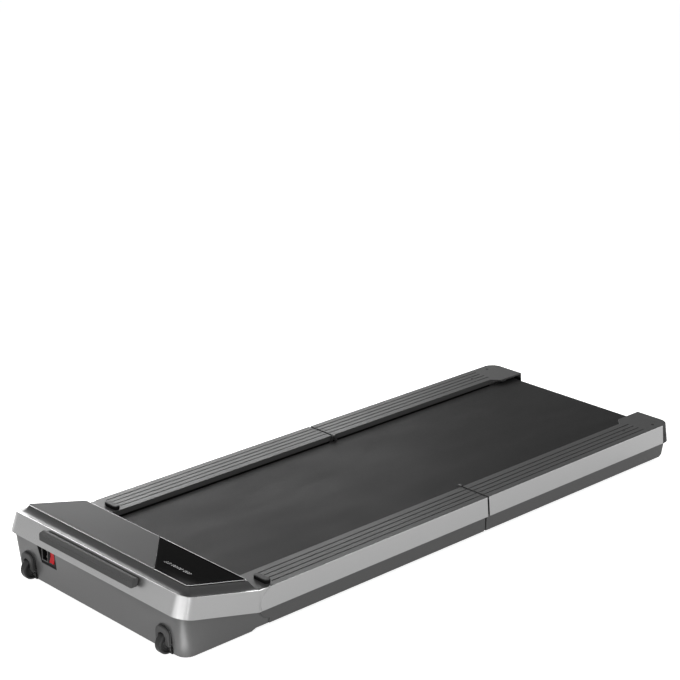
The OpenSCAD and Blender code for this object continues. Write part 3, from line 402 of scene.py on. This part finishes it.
class PadSizes(bpy.types.PropertyGroup):
    edge: FloatProperty(name="Edge", description="Rounding of the large outer edges",
                        unit="LENGTH", default=0.0008, min=0.0001, max=0.0015)
    fine_edge: FloatProperty(name="Fine edge", description="Rounding of the small pieces' edges",
                             unit="LENGTH", default=0.0004, min=0.0001, max=0.0008)
    trim: FloatProperty(name="Trim", description="Radius of the bright bead round the top panel",
                        unit="LENGTH", default=0.0005, min=0.0003, max=0.0015)
    belt_bend: FloatProperty(name="Belt bend", description="Reach of the belt's bend each way from the fold",
                             unit="LENGTH", default=0.009, min=0.004, max=0.02)
    digit: FloatProperty(name="Digit height", description="Height of the display's digits",
                         unit="LENGTH", default=0.008, min=0.004, max=0.02)
    floor: FloatProperty(name="Floor", description="Half width of the studio floor",
                         unit="LENGTH", default=30.0, min=5.0, max=50.0)
    lens: FloatProperty(name="Lens", description="Focal length of the camera in millimetres",
                        unit="CAMERA", default=102.374)


def sizes():
    return bpy.context.scene.pad_sizes


def tint(name):
    return tuple(getattr(bpy.context.scene.pad_colours, name))


# Pieces


def finish_nodes(material, *names):
    """Gives CAD nodes their finish."""
    for name in names:
        slots = NODES[name].data.materials
        slots.clear()
        slots.append(material)


def sides(stem, *middle):
    """Names of the left and right nodes of a piece, for each middle part of the name."""
    return [f"{stem}{part}{side}" for part in (middle or ("_",)) for side in ("left", "right")]


def merged_copy(*names):
    """Mesh of CAD nodes with its loose triangles joined into flat faces."""
    shape = bmesh.new()
    for name in names:
        shape.from_mesh(NODES[name].data)
    bmesh.ops.remove_doubles(shape, verts=shape.verts, dist=TOUCH)
    bmesh.ops.dissolve_limit(shape, angle_limit=FLAT, verts=shape.verts, edges=shape.edges)
    return shape


def round_edges(shape, width, corner):
    """Rounds the sharp edges, and keeps flat faces flat and curved faces smooth."""
    limit = math.radians(corner)
    sharp = [edge for edge in shape.edges if edge.is_manifold and edge.calc_face_angle(0.0) > limit]
    made = bmesh.ops.bevel(shape, geom=sharp, offset=width, offset_type="OFFSET", segments=3, profile=0.5,
                           affect="EDGES", material=-1, clamp_overlap=False)
    rounded = set(made["faces"])
    for face in shape.faces:
        face.smooth = True
    for edge in shape.edges:
        alike = len({face in rounded for face in edge.link_faces}) == 1
        edge.smooth = alike and edge.calc_face_angle(0.0) < limit


def as_piece(name, shape, material, body):
    """Object from a finished mesh, riding on a body when one is given."""
    mesh = bpy.data.meshes.new(name)
    shape.to_mesh(mesh)
    shape.free()
    normals = mesh.attributes.get("custom_normal")
    if normals:
        mesh.attributes.remove(normals)
    mesh.materials.append(material)
    made = bpy.data.objects.new(name, mesh)
    bpy.context.scene.collection.objects.link(made)
    if body:
        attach(made, body)
    return made


def kept_inside(shape, low, high):
    """Moves points that lie outside a box onto its sides."""
    for vert in shape.verts:
        vert.co = Vector(sorted((low[axis], vert.co[axis], high[axis]))[1] for axis in range(3))


def softened(material, width, *names, corner=30.0):
    """Replaces CAD nodes with copies that have rounded edges where faces turn more than corner degrees."""
    for name in names:
        shape = merged_copy(name)
        round_edges(shape, width, corner)
        kept_inside(shape, *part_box(name))
        made = as_piece(f"{name}_softened", shape, material, BODY_OF[name])
        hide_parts(name)


def slanted(edge):
    """True for the joint between plate and glass, the one edge that runs far both across and along."""
    reach = edge.verts[1].co - edge.verts[0].co
    return min(abs(reach.x), abs(reach.y)) > FAR


def outline_points(name):
    """Points round the top of a panel piece, from one end of the slanted joint to the other."""
    shape = merged_copy(name)
    top = max(shape.faces, key=lambda face: face.calc_area() * face.normal.z)
    loops = list(top.loops)
    joint = next(index for index, loop in enumerate(loops) if slanted(loop.edge))
    points = [loop.vert.co.copy() for loop in loops[joint + 1:] + loops[:joint + 1]]
    shape.free()
    return points


def add_bead(shape, points, radius, up):
    """Bead outside the points, kept below the pad's highest point: a ribbon that is given its thickness."""
    highest = CAD_BOX[1].z - radius / 2.0
    spine = [shape.verts.new((point.x, point.y, min(point.z + radius, highest))) for point in points]
    edges = [shape.edges.new(pair) for pair in zip(spine, spine[1:])]
    made = bmesh.ops.extrude_edge_only(shape, edges=edges)["geom"]
    lower = [item for item in made if isinstance(item, bmesh.types.BMVert)]
    ribbon = [item for item in made if isinstance(item, bmesh.types.BMFace)]
    bmesh.ops.translate(shape, verts=lower, vec=-2.0 * radius * up)
    bmesh.ops.recalc_face_normals(shape, faces=ribbon)
    bmesh.ops.solidify(shape, geom=ribbon, thickness=-2.0 * radius)


def glass_frame():
    """Frame on the display glass: X across the pad, Y up the slope from the front edge, Z off the glass."""
    top = max(NODES["display_glass"].data.polygons, key=lambda face: face.area * face.normal.z)
    up = top.normal
    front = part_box("display_glass")[0].y
    height = (up.dot(top.center) - up.y * front) / up.z
    along = up.cross((1.0, 0.0, 0.0))
    turn = Matrix(((1.0, 0.0, 0.0), along, up)).transposed().to_4x4()
    return Matrix.Translation((0.0, front, height)) @ turn


def printed_mark(shape, place, x, y, width, depth):
    """Thin printed bar, centred on x and y."""
    middle = Matrix.Translation((x, y, PRINT_THICKNESS / 2.0))
    stretch = Matrix.Diagonal((width, depth, PRINT_THICKNESS, 1.0))
    bmesh.ops.create_cube(shape, size=1.0, matrix=place @ middle @ stretch)


def printed_zero(shape, place, x, y, height):
    """Digit 0 of a seven-segment display, drawn with its six segments."""
    width = height * DIGIT_WIDTH
    stroke = height * DIGIT_STROKE
    for end in (-1.0, 1.0):
        printed_mark(shape, place, x, y + end * height / 2.0, width - 1.5 * stroke, stroke)
        for side in (-1.0, 1.0):
            printed_mark(shape, place, x + side * width / 2.0, y + end * height / 4.0, stroke,
                         height / 2.0 - 1.5 * stroke)


class PadOperator:
    bl_options = {"REGISTER", "UNDO"}

    def execute(self, context):
        self.make()
        return {"FINISHED"}


class PAD_OT_housing(PadOperator, bpy.types.Operator):
    """Make the wedge housing: lower shell, silver band and upper cover"""

    bl_idname = "pad.housing"
    bl_label = "Housing"

    def make(self):
        edge = sizes().edge
        shell = moulded_plastic("shell_plastic", tint("shell"), roughness=0.32, specular=0.45)
        cover = moulded_plastic("cover_plastic", tint("cover"), roughness=0.3, grain=0.00003, specular=0.12)
        softened(shell, edge, "lower_housing")
        softened(silver_lacquer("band_lacquer", tint("silver")), sizes().fine_edge, "housing_band")
        softened(cover, edge, "upper_cover")


class PAD_OT_panel(PadOperator, bpy.types.Operator):
    """Make the top panel: metal plate, display glass with its digits, and the board below it"""

    bl_idname = "pad.panel"
    bl_label = "Top panel"

    def make(self):
        edge = sizes().fine_edge
        plate = brushed_metal("plate_metal", tint("panel"), along=0, roughness=0.5, metallic=0.02)
        softened(plate, edge, "panel_plate")
        softened(black_glass("display_black", tint("glass")), edge, "display_glass")
        self.digits()
        self.trim()
        finish_nodes(circuit_board("board_green", (0.02, 0.11, 0.04)), "display_board")

    @staticmethod
    def trim():
        """Bright bead round the plate and the glass."""
        shape = bmesh.new()
        up = glass_frame().to_3x3().col[2]
        for name in ("panel_plate", "display_glass"):
            add_bead(shape, outline_points(name), sizes().trim, up)
        round_edges(shape, width=sizes().trim * 0.6, corner=50.0)
        as_piece("panel_trim", shape, turned_steel("trim_metal", (0.28, 0.28, 0.28), roughness=0.35),
                 BODY_OF["panel_plate"])

    @staticmethod
    def digits():
        """Speed, time and steps, all at zero, as on a display that was just switched on."""
        shape = bmesh.new()
        place = glass_frame()
        height = sizes().digit
        x = DIGITS_AT[0] - height * sum(ADVANCE[sign] for sign in READING) / 2.0
        for sign in READING:
            x += height * ADVANCE[sign] / 2.0
            if sign == "0":
                printed_zero(shape, place, x, DIGITS_AT[1], height)
            for level in MARKS.get(sign, ()):
                printed_mark(shape, place, x, DIGITS_AT[1] + level * height, height * DOT, height * DOT)
            x += height * ADVANCE[sign] / 2.0
        as_piece("display_digits", shape, lit_digit("digit_ink", tint("digits"), strength=0.4),
                 BODY_OF["display_glass"])


class PAD_OT_rails(PadOperator, bpy.types.Operator):
    """Make the side rails, foot rails, skirts and bumpers"""

    bl_idname = "pad.rails"
    bl_label = "Rails"

    def make(self):
        edge = sizes().edge
        fine_edge = sizes().fine_edge
        black = tint("black")
        grey = tint("foot_rail")
        lacquer = silver_lacquer("rail_lacquer", tint("silver"))
        softened(lacquer, edge, *sides("side_rail", "_front_", "_rear_"))
        # Painted shade: the foot rails' inner faces turn black below the belt's edge, standing in for the shadow
        # in the gap beside the belt.
        painted_gap_shade = ((0.003, 0.003, 0.003),
                      lambda x, y, z: (z < BELT_TOP - PAINTED_SHADE_BELOW_BELT) * (x.absolute() < RAIL_INNER_X))
        foot_rail = moulded_plastic("foot_rail_plastic", grey, roughness=0.45, specular=0.04,
                                    second=painted_gap_shade)
        softened(foot_rail, fine_edge, *sides("foot_rail", "_front_", "_rear_"))
        skirt = moulded_plastic("skirt_plastic", shade(tint("shell"), 1.3), roughness=0.4, specular=0.2)
        softened(skirt, edge, *sides("skirt", "_front_", "_rear_"))
        # Painted highlight: the bumpers' tops lighter than their black rubber, standing in for light falling on
        # the top face.
        bumper_top_highlight = (BUMPER_TOP - BUMPER_HIGHLIGHT_DEPTH, shade(grey, 0.7))
        bumper = rubber("bumper_rubber", shade(black, 0.6), roughness=0.5, specular=0.03, painted_highlight_above=bumper_top_highlight)
        softened(bumper, edge, "fold_bumpers")
        finish_nodes(turned_steel("screw_black", (0.003, 0.003, 0.003), roughness=0.5), "cap_screws")


class PAD_OT_belt(PadOperator, bpy.types.Operator):
    """Make the running belt, one closed band cut into narrow strips either side of the fold"""

    bl_idname = "pad.belt"
    bl_label = "Running belt"

    def make(self):
        halves = ("running_belt_front", "running_belt_rear")
        shape = merged_copy(*halves)
        ends = [face for face in shape.faces if self.at_fold(face)]
        rims = [vert for vert in shape.verts if any(self.at_fold(face) for face in vert.link_faces)]
        bmesh.ops.delete(shape, geom=ends, context="FACES")
        for vert in rims:
            vert.co.y = FOLD_Y
        bmesh.ops.remove_doubles(shape, verts=rims, dist=TOUCH)
        self.cut_across(shape)
        for face in shape.faces:
            face.smooth = True
        for edge in shape.edges:
            edge.smooth = edge.calc_face_angle(0.0) < CREASE
        belt = as_piece("running_belt", shape, pressed_belt("belt_weave", tint("belt")), None)
        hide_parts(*halves)
        reach = sizes().belt_bend
        FOLD_Y - reach
        FOLD_Y + reach
        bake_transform(belt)

    @staticmethod
    def at_fold(face):
        """True for the flat end that closes a half of the belt at the fold."""
        return abs(face.normal.y) > 0.9 and abs(face.calc_center_median().y - FOLD_Y) < 0.001

    @staticmethod
    def cut_across(shape):
        """Cuts the band into narrow strips either side of the fold."""
        strips = 12
        for index in range(-strips, strips + 1):
            bmesh.ops.bisect_plane(shape, geom=shape.verts[:] + shape.edges[:] + shape.faces[:],
                                   plane_co=(0.0, FOLD_Y + index * sizes().belt_bend / strips, 0.0),
                                   plane_no=(0.0, 1.0, 0.0), dist=TOUCH / 10.0)


class PAD_OT_stand_bar(PadOperator, bpy.types.Operator):
    """Make the stand bar"""

    bl_idname = "pad.stand_bar"
    bl_label = "Stand bar"

    def make(self):
        plastic = moulded_plastic("bar_plastic", tint("bar"), roughness=0.45, specular=0.02)
        softened(plastic, sizes().fine_edge, "stand_bar", corner=12.0)


class PAD_OT_wheels(PadOperator, bpy.types.Operator):
    """Make the transport wheels, their pockets and axles"""

    bl_idname = "pad.wheels"
    bl_label = "Transport wheels"

    def make(self):
        tyre = rubber("wheel_rubber", tint("black"), roughness=0.45)
        softened(tyre, sizes().edge, "wheel_left", "wheel_right")
        # Painted shade: the hoods darker in their groove and where they meet the housing, standing in for the
        # shade in the groove and the joint.
        starts, ends = HOOD_GROOVE_SHADE
        painted_hood_shade = (shade(tint("black"), 0.5),
                      lambda x, y, z: (y > HOOD_FRONT + starts) * (y < HOOD_FRONT + ends)
                      + (y > HOOD_FRONT + HOOD_JOINT_SHADE))
        pocket = moulded_plastic("pocket_plastic", shade(tint("shell"), 0.85), roughness=0.4, specular=0.1,
                                 second=painted_hood_shade)
        softened(pocket, sizes().fine_edge, *sides("wheel_bracket"), corner=24.0)
        finish_nodes(turned_steel("axle_steel", (0.5, 0.5, 0.51)), "wheel_axles")


class PAD_OT_inlet(PadOperator, bpy.types.Operator):
    """Make the mains inlet and the power switch"""

    bl_idname = "pad.inlet"
    bl_label = "Inlet and switch"

    def make(self):
        fine_edge = sizes().fine_edge
        black = tint("black")
        # Painted shade: the socket darker behind its rim, standing in for the shade inside its opening.
        painted_socket_shade = (shade(black, 0.5), lambda x, y, z: y > SOCKET_FRONT + SOCKET_RIM)
        recess = moulded_plastic("recess_plastic", shade(black, 0.4), roughness=0.4, specular=0.08)
        socket = moulded_plastic("socket_plastic", shade(black, 7.0), roughness=0.4, specular=0.1,
                                 second=painted_socket_shade)
        switch = moulded_plastic("switch_plastic", shade(black, 0.5), roughness=0.35, specular=0.1)
        rocker = moulded_plastic("rocker_red", tint("rocker"), roughness=0.25, grain=0.00001, specular=0.12)
        softened(recess, fine_edge, "inlet_cup")
        softened(socket, fine_edge, "inlet_socket")
        softened(switch, fine_edge, "switch_frame")
        softened(rocker, fine_edge, "rocker")
        finish_nodes(turned_steel("pin_steel", (0.3, 0.29, 0.27)), "inlet_pins")


class PAD_OT_inside(PadOperator, bpy.types.Operator):
    """Finish the frames, decks, hinge, rollers, motor and feet"""

    bl_idname = "pad.inside"
    bl_label = "Inside and underside"

    def make(self):
        black = tint("black")
        finish_nodes(moulded_plastic("plug_plastic", shade(black, 0.7), roughness=0.6),
                     "rail_plugs_front", "rail_plugs_rear")
        finish_nodes(powder_coat("frame_coat", shade(black, 0.8)), "front_frame", "rear_frame",
                     "motor_mount", "hinge_ears_front", "hinge_ears_rear", "hinge_pins")
        finish_nodes(powder_coat("motor_paint", shade(black, 1.5), roughness=0.35), "motor_case")
        finish_nodes(moulded_plastic("pan_plastic", shade(black, 1.6), roughness=0.55),
                     "front_base_pan", "rear_base_pan")
        finish_nodes(faced_board("deck_board", (0.045, 0.035, 0.028)), "front_deck", "rear_deck")
        finish_nodes(rubber("cushion_rubber", black, roughness=0.75),
                     "front_deck_cushions", "rear_deck_cushions")
        finish_nodes(rubber("foot_rubber", shade(black, 1.3), roughness=0.75), "front_feet", "rear_feet")
        finish_nodes(rubber("drive_rubber", shade(black, 0.8), roughness=0.6), "drive_belt")
        finish_nodes(turned_steel("roller_steel", (0.5, 0.5, 0.51)),
                     "drive_roller", "idler_roller", "motor_rotor")
        finish_nodes(turned_steel("shaft_steel", (0.6, 0.6, 0.61), roughness=0.22), "drive_roller_shaft",
                     "idler_roller_shaft", "drive_roller_bearings", "idler_roller_bearings")
        finish_nodes(turned_steel("bolt_black", (0.08, 0.08, 0.08), roughness=0.4), "tension_bolts")
        finish_nodes(brushed_metal("controller_metal", (0.3, 0.31, 0.32), along=0, roughness=0.5),
                     "controller_case")


# Studio


# Name, place, target, width, height and power of each lamp.
LAMPS = (
    ("left_low_softbox", (-1.1, -0.15, 0.4), (0.0, -0.3, 0.1), 0.9, 0.5, 10.3),
    ("left_rear_softbox", (-1.7, 0.9, 0.9), (0.0, 0.0, 0.1), 1.4, 0.9, 36.4),
    ("front_high_softbox", (0.6, -2.4, 2.0), (0.0, -0.2, 0.1), 2.8, 1.7, 22.3),
    ("front_low_softbox", (0.2, -2.9, 0.4), (0.0, -0.6, 0.1), 1.6, 0.7, 8.0),
    ("right_rear_softbox", (1.9, 1.8, 0.45), (0.25, 0.1, 0.06), 2.4, 0.8, 17.4),
    ("right_strip", (2.3, -1.35, 0.55), (0.25, -0.68, 0.08), 0.3, 1.0, 8.5),
    ("corner_low_softbox", (1.05, -1.95, 0.1), (0.25, -0.68, 0.04), 1.2, 0.2, 4.5),
    ("corner_card", (0.293, -0.737, 0.019), (0.2665, -0.6946, 0.1056), 0.055, 0.078, 0.075),
)
WORLD_LIGHT = 0.19
FLOOR_GLOW = 0.85
CAMERA_AT = (2.7145, -2.6273, 1.6909)
CAMERA_AZIMUTH = math.radians(46.598)
CAMERA_ELEVATION = math.radians(19.050)
CAMERA_SHIFT = (0.00169, -0.00055)


def area_light(name, place, target, width, height, power):
    lamp = bpy.data.lights.new(name, "AREA")
    lamp.shape = "RECTANGLE"
    lamp.size = width
    lamp.size_y = height
    lamp.energy = power
    holder = bpy.data.objects.new(name, lamp)
    bpy.context.scene.collection.objects.link(holder)
    holder.location = place
    holder.rotation_euler = (Vector(target) - Vector(place)).to_track_quat("-Z", "Y").to_euler()


class PAD_OT_stage(PadOperator, bpy.types.Operator):
    """Make the floor, the soft studio light and the camera"""

    bl_idname = "pad.stage"
    bl_label = "Studio"

    def make(self):
        self.make_floor()
        self.make_world()
        for lamp in LAMPS:
            area_light(*lamp)
        self.make_camera()
        bpy.context.scene.view_settings.view_transform = "Standard"

    @staticmethod
    def make_floor():
        mesh = bpy.data.meshes.new("studio_floor")
        shape = bmesh.new()
        bmesh.ops.create_grid(shape, x_segments=1, y_segments=1, size=sizes().floor)
        shape.to_mesh(mesh)
        shape.free()
        floor = bpy.data.objects.new("studio_floor", mesh)
        bpy.context.scene.collection.objects.link(floor)
        finish = Finish("studio_paper")
        grain = finish.noise(finish.place(), 40.0, 2.0)
        tone = finish.between(grain, (0.80, 0.80, 0.80), (0.82, 0.82, 0.82))
        paper = finish.node("ShaderNodeBsdfDiffuse", None, {"Color": tone})
        glow = finish.light("ShaderNodeEmission", finish.seen() * FLOOR_GLOW)
        finish.shown(finish.node("ShaderNodeAddShader", None, {0: paper, 1: glow}))
        mesh.materials.append(finish.material)

    @staticmethod
    def make_world():
        """White where it is seen, directly or in a reflection, and softer where it lights the pad."""
        world = bpy.data.worlds.new("studio_world")
        bpy.context.scene.world = world
        shading = Shading(world)
        soft = shading.light("ShaderNodeBackground", WORLD_LIGHT)
        bright = shading.light("ShaderNodeBackground", 1.0)
        both = shading.node("ShaderNodeMixShader", None, {0: shading.seen(), 1: soft, 2: bright})
        shading.shown(both, "ShaderNodeOutputWorld")

    @staticmethod
    def make_camera():
        lens = bpy.data.cameras.new("photo_camera")
        lens.sensor_width = 36.0
        lens.lens = sizes().lens
        lens.shift_x, lens.shift_y = CAMERA_SHIFT
        lens.clip_end = 100.0
        camera = bpy.data.objects.new("photo_camera", lens)
        bpy.context.scene.collection.objects.link(camera)
        right = Vector((math.cos(CAMERA_AZIMUTH), math.sin(CAMERA_AZIMUTH), 0.0))
        level = Vector((math.sin(CAMERA_AZIMUTH), -math.cos(CAMERA_AZIMUTH), 0.0))
        back = level * math.cos(CAMERA_ELEVATION) + Vector((0.0, 0.0, math.sin(CAMERA_ELEVATION)))
        turn = Matrix((right, back.cross(right), back)).transposed().to_4x4()
        camera.matrix_world = Matrix.Translation(CAMERA_AT) @ turn
        bpy.context.scene.camera = camera


class PAD_PT_panel(bpy.types.Panel):
    """Lists the pad's operators and settings"""

    bl_label = "Walking Pad"
    bl_idname = "PAD_PT_panel"
    bl_space_type = "VIEW_3D"
    bl_region_type = "UI"
    bl_category = "Walking Pad"

    def draw(self, context):
        layout = self.layout
        for group in (context.scene.pad_colours, context.scene.pad_sizes):
            for key in group.__annotations__:
                layout.prop(group, key)
        for operator in OPERATORS:
            layout.operator(operator.bl_idname)


OPERATORS = (PAD_OT_housing, PAD_OT_panel, PAD_OT_rails, PAD_OT_belt, PAD_OT_stand_bar, PAD_OT_wheels,
             PAD_OT_inlet, PAD_OT_inside, PAD_OT_stage)
CLASSES = (PadColours, PadSizes, *OPERATORS, PAD_PT_panel)


def register():
    for kind in CLASSES:
        bpy.utils.register_class(kind)
    bpy.types.Scene.pad_colours = PointerProperty(type=PadColours)
    bpy.types.Scene.pad_sizes = PointerProperty(type=PadSizes)


def unregister():
    del bpy.types.Scene.pad_sizes
    del bpy.types.Scene.pad_colours
    for kind in reversed(CLASSES):
        bpy.utils.unregister_class(kind)


def main():
    register()
    for operator in OPERATORS:
        group, name = operator.bl_idname.split(".")
        getattr(getattr(bpy.ops, group), name)()


if __name__ == "__main__":
    main()
